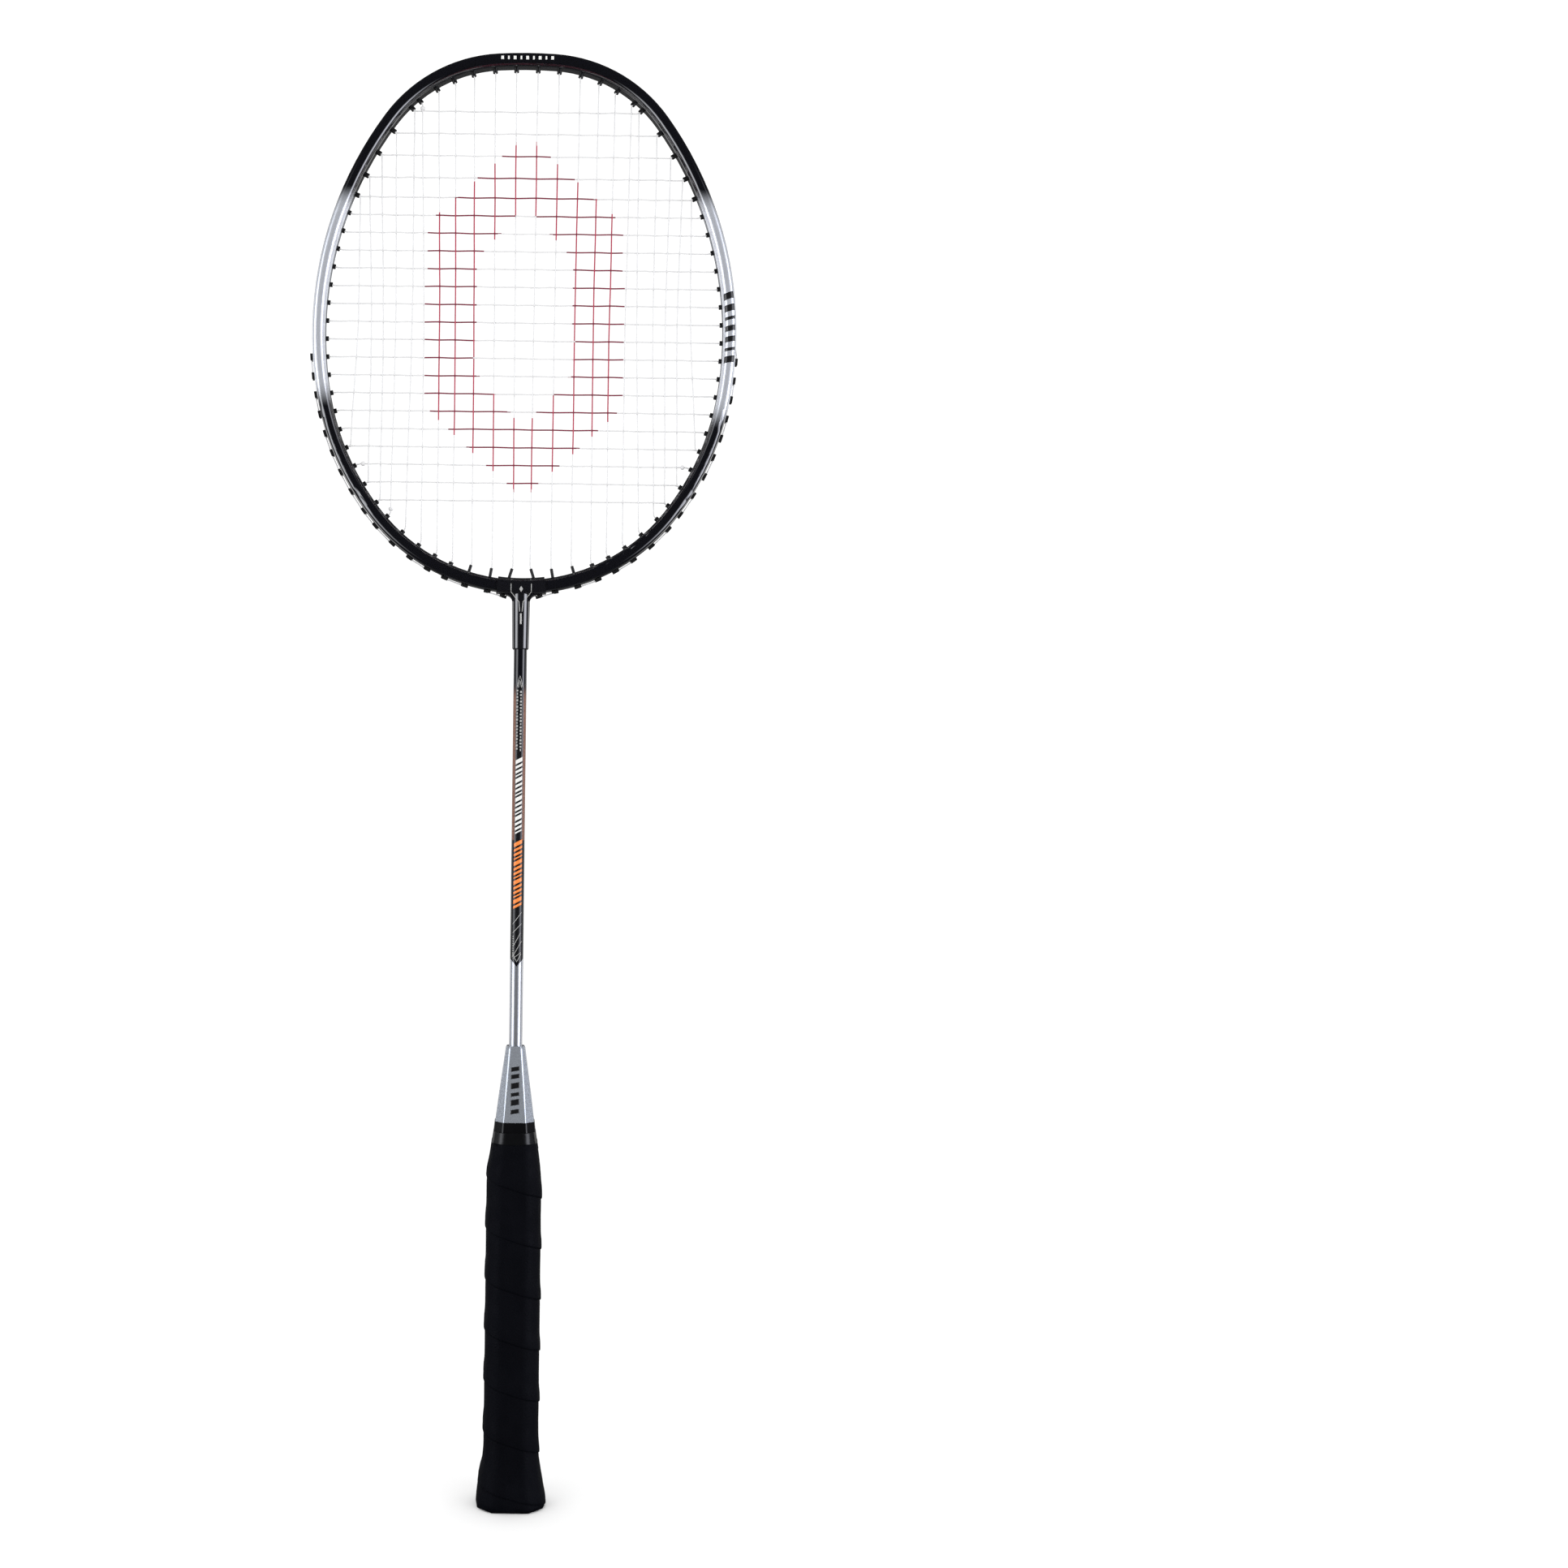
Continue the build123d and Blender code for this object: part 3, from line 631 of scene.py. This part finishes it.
def softened_reach(surface, angle, z, low, high):
    """Distance from the axis to an eight-sided sleeve, its corners softened, at a height inside it."""
    z = limited(z, low + FACE_MARGIN, high - FACE_MARGIN)
    reaches = [reach_of(surface, angle + radians(CORNER_SMOOTHING * step), z) for step in CORNER_STEPS]
    return sum(reaches) / len(reaches)


def unevenness(angle, ring, along):
    """Smooth noise from -1 to 1, read on a ring of this radius this far along its axis."""
    return noise.noise(Vector((cos(angle) * ring, sin(angle) * ring, along)))


# ---------------------------------------------------------------- wound grip
WRAP_PITCH = 23.6 * MM
WRAP_SIDES = 128
WRAP_SINK = 0.42 * MM
WRAP_SHELL = 0.45 * MM
WRAP_ROUND = 0.5 * MM
WRAP_COVER = 0.16 * MM
WRAP_TUCK = 12.0 * MM
LEAST_RISE = 1e-7

# Small hollows and swells: size as a ring and as a length in mm, then (times finer, depth in mm) of each layer
PUCKER_RING = 9.0
PUCKER_LENGTH = 9.0
PUCKERS = [(1.0, 0.07), (3.1, 0.03)]

# Height in mm over one turn, by share of the pitch: the raised overlap at the turn's edge, then its fall
WRAP_EDGE = [
    (0.0, 0.0), (0.006, 0.24), (0.014, 0.42), (0.03, 0.50), (0.06, 0.52), (0.10, 0.50), (0.15, 0.46),
    (0.20, 0.39), (0.25, 0.26), (0.31, 0.13), (0.38, 0.05), (0.5, 0.0), (0.64, -0.02), (0.78, 0.0),
    (0.9, 0.02), (0.97, 0.0), (0.995, -0.04),
]


def covering(inner, angle, z):
    """Least distance from the axis at which the wrap still hides what it is wound over."""
    return max(reach_of(surface, angle, z) or 0.0 for surface in inner) + WRAP_COVER


def wrap_reach(surface, inner, angle, z, height, low, high):
    """Distance from the axis to the wrap, which rounds off at the butt and smooths out under the tape."""
    face = softened_reach(surface, angle, z, low, high)
    rim = limited((z - low) / WRAP_ROUND, 0.0, 1.0)
    round_off = WRAP_ROUND * (1 - (1 - (1 - rim) ** 2) ** 0.5)
    tuck = limited((high - z) / WRAP_TUCK, 0.0, 1.0)
    pucker = 0.0
    for finer, depth in PUCKERS:
        pucker += unevenness(angle, PUCKER_RING * finer, z / MM / PUCKER_LENGTH * finer) * depth * MM
    reach = face - WRAP_SINK + (height * rim + pucker) * tuck - round_off
    return max(reach, covering(inner, angle, z))


def wrap_faces(vertices, row_count):
    """Faces of the spiral: the last side joins the same row one turn further on."""
    faces = []
    for row in range(row_count):
        for k in range(WRAP_SIDES):
            here = row * WRAP_SIDES + k
            beside = here + 1 if k + 1 < WRAP_SIDES else (row + len(WRAP_EDGE)) * WRAP_SIDES
            corners = (here + WRAP_SIDES, beside + WRAP_SIDES, beside, here)
            if max(corners) < len(vertices):
                heights = [vertices[i].z for i in corners]
                if max(heights) - min(heights) > LEAST_RISE:
                    faces.append(corners)
    return faces


def drop_flat_and_loose(bm):
    """Removes what the ends of the handle cut off, so that no stray vertex or face is left."""
    bmesh.ops.delete(bm, geom=[v for v in bm.verts if not v.link_faces], context="VERTS")
    bmesh.ops.remove_doubles(bm, verts=bm.verts, dist=1e-6)
    bmesh.ops.dissolve_degenerate(bm, edges=bm.edges, dist=1e-7)


def grip():
    """Wrap wound up the handle as one band, each turn over the edge of the turn before."""
    surface = surface_of("grip_wrap")
    inner = [surface_of("handle_core"), surface_of("butt_cap")]
    low, high = (corner.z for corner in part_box("grip_wrap"))
    turns = range(-2, int((high - low) / WRAP_PITCH) + 3)
    rows = [(turn + share, height * MM) for turn in turns for share, height in WRAP_EDGE]
    vertices = []
    for turn, height in rows:
        for k in range(WRAP_SIDES):
            angle = -2 * pi * k / WRAP_SIDES
            z = limited(low + WRAP_PITCH * (turn + k / WRAP_SIDES), low, high)
            reach = wrap_reach(surface, inner, angle, z, height, low, high)
            vertices.append(Vector((cos(angle) * reach, sin(angle) * reach, z)))
    faces = wrap_faces(vertices, len(rows))
    piece = add_mesh("wound_grip", vertices, faces, [grip_polymer()])
    edit_mesh(piece.data, drop_flat_and_loose)
    shell = piece.modifiers.new("shell", "SOLIDIFY")
    shell.thickness = WRAP_SHELL
    shell.offset = -1
    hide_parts("grip_wrap")


# ---------------------------------------------------------------- tape, in millimetres
TAPE_SIDES = 96
TAPE_START = 200
TAPE_SINK = 0.1
TAPE_END = 0.14
TAPE_BULGE = 0.06
BULGE_RING = 3.0
TAPE_WAVER = 0.35
WAVER_REACH = 2.5
WAVER_RING = 2.2
WAVER_PLACE = 3.1

# Section as (height over the part's lower edge, proud of its face), from the inside of one edge to the other's
TAPE_PROFILE = [
    (-0.6, -0.45), (-0.6, 0.0), (-0.38, 0.17), (0.0, 0.22), (0.4, 0.12), (0.9, 0.0), (2.2, -0.02),
    (3.6, -0.03), (4.7, -0.03), (4.95, -0.12), (5.0, -0.5),
]
TAPE_FOOT = TAPE_PROFILE[0][0]


def tape():
    """Tape round the top of the grip: soft corners, a slack lower edge and the step of its cut end."""
    surface = surface_of("finishing_tape")
    low, high = (corner.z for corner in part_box("finishing_tape"))
    vertices, faces = [], []
    for row, (height, proud) in enumerate(TAPE_PROFILE):
        slack = max(0.0, 1 - (height - TAPE_FOOT) / WAVER_REACH)
        here, above = row * TAPE_SIDES, (row + 1) % len(TAPE_PROFILE) * TAPE_SIDES
        for k in range(TAPE_SIDES):
            share = k / TAPE_SIDES
            angle = 2 * pi * share + radians(TAPE_START)
            waver = unevenness(angle, WAVER_RING, WAVER_PLACE) * TAPE_WAVER * slack
            z = low + (height + waver) * MM
            lift = proud + TAPE_END * (1 - share) + unevenness(angle, BULGE_RING, height) * TAPE_BULGE
            radius = softened_reach(surface, angle, z, low, high) + (lift - TAPE_SINK) * MM
            vertices.append(Vector((cos(angle) * radius, sin(angle) * radius, z)))
            after = (k + 1) % TAPE_SIDES
            faces.append((here + k, here + after, above + after, above + k))
    satin = moulded("tape_satin", (0.0012, 0.0013, 0.002), 0.24, level=0.4)
    piece = add_mesh("wound_tape", vertices, faces, [satin])
    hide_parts("finishing_tape")


# ---------------------------------------------------------------- printing
PRINT_LIFT = 0.04 * MM
PRINT_GRID = 0.45
PRINT_RAY_START = 0.1


def patch(quad, surface, side):
    """Rows of (point, normal) over a four-cornered print (x, z in mm), laid on the surface it faces."""
    a, b, c, d = (Vector(corner) for corner in quad)
    across = max(1, round(max((b - a).length, (c - d).length) / PRINT_GRID))
    along = max(1, round(max((d - a).length, (c - b).length) / PRINT_GRID))
    rows = []
    for i in range(along + 1):
        low, high = a.lerp(d, i / along), b.lerp(c, i / along)
        row = []
        for j in range(across + 1):
            place = low.lerp(high, j / across) * MM
            start = Vector((place.x, PRINT_RAY_START * side, place.y))
            row.append(surface.ray_cast(start, Vector((0, -side, 0)))[:2])
        rows.append(row)
    return rows


def slab(rows, side):
    """Vertices and faces of a closed sheet, half of it above the patch's points and half below."""
    wide, size = len(rows[0]), len(rows) * len(rows[0])
    vertices = []
    for lift in (PRINT_LIFT, -PRINT_LIFT):
        vertices += [hit + normal * lift for row in rows for hit, normal in row]
    faces = []
    for i in range(len(rows) - 1):
        for j in range(wide - 1):
            k = wide * i + j
            faces.append((k, k + 1, k + wide + 1, k + wide))
            faces.append((k + size, k + wide + size, k + wide + 1 + size, k + 1 + size))
    rim = list(range(wide))
    rim += [wide * i + wide - 1 for i in range(1, len(rows))]
    rim += [size - 1 - j for j in range(1, wide)]
    rim += [wide * i for i in range(len(rows) - 2, 0, -1)]
    for first, second in zip(rim, rim[1:] + rim[:1]):
        faces.append((second, first, first + size, second + size))
    return vertices, [face if side == FRONT else face[::-1] for face in faces]


def face_outwards(bm):
    bmesh.ops.recalc_face_normals(bm, faces=bm.faces)


def prints(name, quads, node, material):
    """Ink a hair thick on a node's front and back."""
    surface = surface_of(node)
    vertices, faces = [], []
    for side in (FRONT, BACK):
        for quad in quads:
            base = len(vertices)
            points, loops = slab(patch(quad, surface, side), side)
            vertices += points
            faces += [tuple(base + k for k in loop) for loop in loops]
    piece = add_mesh(name, vertices, faces, [material])
    edit_mesh(piece.data, face_outwards)


def bar(x, z, wide, long, slant=0.0):
    """Corners of a bar across the axis: its middle, width, length and rise from left to right."""
    right, half_long, rise = wide / 2, long / 2, slant / 2
    return [
        (x - right, z - half_long - rise), (x + right, z - half_long + rise),
        (x + right, z + half_long + rise), (x - right, z + half_long - rise),
    ]


def line(points, width):
    """Quads of a thin line through points; neighbouring quads meet at their corners."""
    places = [Vector(point) for point in points]
    last = len(places) - 1
    edges = []
    for i, place in enumerate(places):
        along = (places[min(i + 1, last)] - places[max(i - 1, 0)]).normalized()
        across = Vector((-along.y, along.x)) * width / 2
        edges.append((place - across, place + across))
    return [(start[0], start[1], end[1], end[0]) for start, end in zip(edges, edges[1:])]


# ---------------------------------------------------------------- graphics, in millimetres
# Flank of the head: bars as (turn from the crown in degrees, length), from one edge to the other
HEAD_BARS = [(83.9, 3.1), (85.8, 3.1), (87.4, 1.5), (89.0, 2.6), (90.7, 2.6), (92.3, 1.5), (93.9, 3.1)]
HEAD_BAR_EDGE = 2.3
HEAD_BAR_SLANT = 0.5

# Crown
CROWN_MARKS = 9
CROWN_SPACING = 2.9
CROWN_HEIGHT = TOTAL_LENGTH - 3.2
CROWN_WIDTHS = (1.3, 0.8)
CROWN_LENGTH = 1.6

# T-joint, as (x, z)
STEM_LINE = [(4.7, 428.0), (4.7, 424.3), (0.95, 419.8), (0.55, 415.2)]
STEM_LINE_WIDTH = 0.3
STEM_DASH = [(0.0, 414.4), (0.0, 409.4)]
STEM_DASH_WIDTH = 0.8
LOZENGE = [(0.0, 424.1), (0.8, 425.5), (0.0, 426.9), (-0.8, 425.5)]

# Shaft: stripes as (top, bottom, width, slant), columns of ticks as (x, top, spacing, count, widths, lengths)
WHITE_STRIPES = (347.0, 311.0, 3.1, 1.7)
ORANGE_STRIPES = (308.6, 277.0, 3.8, 2.0)
STRIPE_LENGTHS = (1.9, 1.2, 1.2, 0.7)
STRIPE_GAP = 0.95
TICK_COLUMNS = [
    (-1.15, 378.6, 1.5, 19, (0.75, 0.45, 0.75), (0.8, 1.05)),
    (0.55, 378.0, 1.5, 19, (0.85, 0.85, 0.55, 0.85), (1.05, 0.85, 0.85)),
    (-1.75, 264.4, 1.1, 9, (0.45,), (0.6,)),
]

# Shaft: rising lines as (reach to each side, top, rise) with their bend, and pointed lines as (x, z)
HAIRLINES = [(2.0, 275.6, 5.5), (2.0, 270.4, 4.4), (1.6, 266.0, 6.0), (2.1, 262.2, 7.5), (1.9, 257.0, 3.0)]
HAIRLINE_BEND = (0.3, 0.35)
HAIRLINE_WIDTH = 0.22
SHAFT_POINTS = [
    [(-1.9, 256.4), (-0.9, 254.2), (0.0, 252.6), (0.9, 254.2), (1.9, 256.4)],
    [(-1.3, 380.2), (-0.75, 383.0), (0.0, 385.6), (0.75, 383.0), (1.3, 380.2)],
    [(-0.7, 380.0), (-0.35, 382.0), (0.0, 383.4), (0.35, 382.0), (0.7, 380.0)],
]
SHAFT_POINT_WIDTH = 0.26

# Cone: bars as (height, length)
CONE_BARS = [(203.2, 1.9), (199.8, 1.9), (195.6, 2.6), (191.6, 1.6), (188.0, 2.6), (183.8, 1.9)]
CONE_BAR_WIDTH = 4.0
CONE_BAR_SLANT = 0.7


def head_bars():
    quads = []
    for turn, length in HEAD_BARS:
        half, slant = turn_over(length / 2, turn), turn_over(HEAD_BAR_SLANT, turn)
        quads.append([
            head_point(turn - half + slant, -HEAD_BAR_EDGE), head_point(turn - half - slant, HEAD_BAR_EDGE),
            head_point(turn + half - slant, HEAD_BAR_EDGE), head_point(turn + half + slant, -HEAD_BAR_EDGE),
        ])
    return quads


def crown_marks():
    middle = (CROWN_MARKS - 1) / 2
    return [bar(CROWN_SPACING * (i - middle), CROWN_HEIGHT, CROWN_WIDTHS[i % 2], CROWN_LENGTH)
            for i in range(CROWN_MARKS)]


def joint_lines():
    quads = []
    for side in (-1, 1):
        quads += line([(side * x, z) for x, z in STEM_LINE], STEM_LINE_WIDTH)
    return quads + line(STEM_DASH, STEM_DASH_WIDTH) + [LOZENGE]


def stripes(top, bottom, wide, slant):
    """Slanted bars of a repeating set of lengths down the shaft."""
    bars, z = [], top
    for length in cycle(STRIPE_LENGTHS):
        if z - length < bottom:
            return bars
        bars.append(bar(0.0, z - length / 2, wide, length, slant))
        z -= length + STRIPE_GAP


def shaft_ticks():
    quads = []
    for x, top, spacing, count, widths, lengths in TICK_COLUMNS:
        for i in range(count):
            quads.append(bar(x, top - spacing * i, widths[i % len(widths)], lengths[i % len(lengths)]))
    for reach, top, rise in HAIRLINES:
        bend = (reach * HAIRLINE_BEND[0], top - rise * HAIRLINE_BEND[1])
        quads += line([(-reach, top - rise), bend, (reach, top)], HAIRLINE_WIDTH)
    for point in SHAFT_POINTS:
        quads += line(point, SHAFT_POINT_WIDTH)
    return quads


def graphics():
    """Plain bars, ticks and lines where the racket carries its markings."""
    white = ink("white_ink", (0.78, 0.78, 0.76))
    grey = ink("grey_ink", (0.42, 0.42, 0.41))
    black = ink("black_ink", (0.006, 0.006, 0.008))
    orange = ink("orange_ink", (0.90, 0.24, 0.035))
    cone_bars = [bar(0.0, z, CONE_BAR_WIDTH, length, CONE_BAR_SLANT) for z, length in CONE_BARS]
    prints("head_bars", head_bars(), "head_frame", black)
    prints("crown_marks", crown_marks(), "head_frame", white)
    prints("joint_lines", joint_lines(), "t_joint", grey)
    prints("shaft_white_stripes", stripes(*WHITE_STRIPES), "shaft", white)
    prints("shaft_orange_stripes", stripes(*ORANGE_STRIPES), "shaft", orange)
    prints("shaft_grey_ticks", shaft_ticks(), "shaft", grey)
    prints("cone_bars", cone_bars, "cone_cap", black)


# ---------------------------------------------------------------- studio
FOCUS = Vector((0, 0, 0.335))
CAMERA_DISTANCE = 0.87
LENS = 42.86
SENSOR = 36.0
ROLL = 0.7
SHIFT = (0.16915, 0.0003)
SKY = 1.12
FLOOR_RADIUS = 9
ROOM_RADIUS = 6
ROOM_DEPTH = (0.5, 4.0)
ROOM_GLOW = (0.025, 0.09)
CARD_HEIGHT = 0.42
CARD_SIZE = (1.3, 2.4, 1)
CARD_DISTANCE = 1.3
CARD_FADE = 0.42
FRONT_CARD_TURN = 60
BACK_CARD_TURN = 128


class Glow(Nodes):
    """Emission for what is only seen in reflections."""

    def __init__(self, name, tint=(1, 1, 1)):
        super().__init__(name)
        self.tree.nodes.clear()
        self.light = self.new("Emission")
        self.light.inputs["Color"].default_value = (*tint, 1)
        self.put(self.new("OutputMaterial").inputs["Surface"], self.light.outputs[0])

    def shine(self, strength):
        self.put(self.light.inputs["Strength"], strength)
        return self.material


def room_glow():
    """Dark room round the camera, paler towards the backdrop behind the racket."""
    glow = Glow("dark_room")
    depth = glow.axes(glow.coordinates())[1]
    return glow.shine(glow.ramp(depth, *ROOM_DEPTH, *ROOM_GLOW, True))


def card_glow(name, strength, tint):
    """Brightest in the middle of the card, gone at its edges."""
    glow = Glow(name, tint)
    for axis in glow.axes(glow.coordinates("Generated"))[:2]:
        from_middle = glow.maths("ABSOLUTE", glow.maths("SUBTRACT", axis, 0.5))
        strength = glow.product(glow.ramp(from_middle, 0.5 - CARD_FADE, 0.5, 1.0, 0.0, True), strength)
    return glow.shine(strength)


def only_in_reflections(card):
    card.visible_camera = False
    card.visible_diffuse = False
    card.visible_shadow = False
    card.visible_transmission = False


def reflection_card(name, turn, strength, tint=(1, 1, 1)):
    """Upright soft panel that faces the racket, turned this many degrees round it from the camera."""
    towards = Vector((sin(radians(turn)), -cos(radians(turn)), 0))
    bpy.ops.mesh.primitive_plane_add(size=1, location=towards * CARD_DISTANCE + Vector((0, 0, CARD_HEIGHT)))
    card = bpy.context.object
    card.name = name
    card.scale = CARD_SIZE
    card.rotation_euler = (-towards).to_track_quat("Z", "Y").to_euler()
    card.data.materials.append(card_glow(name, strength, tint))
    only_in_reflections(card)


def area_light(name, place, wide, tall, power):
    """Lamp that shades the racket but isn't seen in its gloss."""
    light = bpy.data.lights.new(name, "AREA")
    light.shape = "RECTANGLE"
    light.size, light.size_y = wide, tall
    light.energy = power
    lamp = bpy.data.objects.new(name, light)
    lamp.location = place
    lamp.rotation_euler = (FOCUS - Vector(place)).to_track_quat("-Z", "Y").to_euler()
    lamp.visible_glossy = False
    lamp.visible_camera = False
    bpy.context.scene.collection.objects.link(lamp)


def studio():
    """White surroundings and floor, a dark room and soft cards for the gloss, and weak lamps."""
    world = bpy.data.worlds.new("studio")
    bpy.context.scene.world = world
    world.use_nodes = True
    world.node_tree.nodes["Background"].inputs["Color"].default_value = (1, 1, 1, 1)
    world.node_tree.nodes["Background"].inputs["Strength"].default_value = SKY

    bpy.ops.mesh.primitive_circle_add(vertices=96, radius=FLOOR_RADIUS, fill_type="NGON")
    floor = bpy.context.object
    floor.name = "floor"
    paper = Paint("pale_paper", roughness=0.9, specular_ior_level=0.0)
    paper.set("Base Color", paper.mix(paper.noise(30, 3), (0.90, 0.90, 0.90), (0.93, 0.93, 0.93)))
    floor.data.materials.append(paper.material)
    floor.visible_glossy = False

    bpy.ops.mesh.primitive_uv_sphere_add(segments=48, ring_count=24, radius=ROOM_RADIUS, location=FOCUS)
    room = bpy.context.object
    room.name = "dark_room"
    room.data.materials.append(room_glow())
    only_in_reflections(room)

    reflection_card("left_card", -FRONT_CARD_TURN, 3.8, (0.93, 0.95, 1.0))
    reflection_card("right_card", FRONT_CARD_TURN, 4.8, (0.88, 0.90, 1.0))
    reflection_card("left_back_card", -BACK_CARD_TURN, 1.2)
    reflection_card("right_back_card", BACK_CARD_TURN, 1.2)
    area_light("left_light", (-1.2, -1.0, 0.9), 0.8, 1.4, 2.5)
    area_light("right_light", (1.2, -1.0, 0.9), 0.8, 1.4, 2.5)
    area_light("top_light", (0, -0.3, 2.0), 1.2, 1.2, 3.0)


def camera():
    data = bpy.data.cameras.new("camera")
    data.sensor_width = SENSOR
    data.lens = LENS
    data.shift_x = SHIFT[0]
    data.shift_y = SHIFT[1]
    eye = bpy.data.objects.new("camera", data)
    eye.location = FOCUS + Vector((0, -CAMERA_DISTANCE, 0))
    eye.rotation_euler = (radians(90), -radians(ROLL), 0)
    bpy.context.scene.collection.objects.link(eye)
    bpy.context.scene.camera = eye


bpy.context.scene.view_settings.view_transform = "Standard"
camera()
studio()
dress(frame_lacquer(), "head_frame")
dress(joint_lacquer(), "t_joint")
dress(shaft_lacquer(), "shaft")
dress(cone_silver(), "cone_cap")
dress(moulded("collar_gloss", (0.0012, 0.0012, 0.0018), 0.17, grain_depth=0.000004, level=0.35), "cone_collar")
dress(moulded("cap_satin", (0.01, 0.01, 0.011), 0.5), "butt_cap")
dress(wood(), "handle_core")
dress(moulded("grommet_nylon", (0.004, 0.004, 0.0045), 0.38), *[n for n in NODES if "grommet" in n])
strings()
grip()
tape()
graphics()
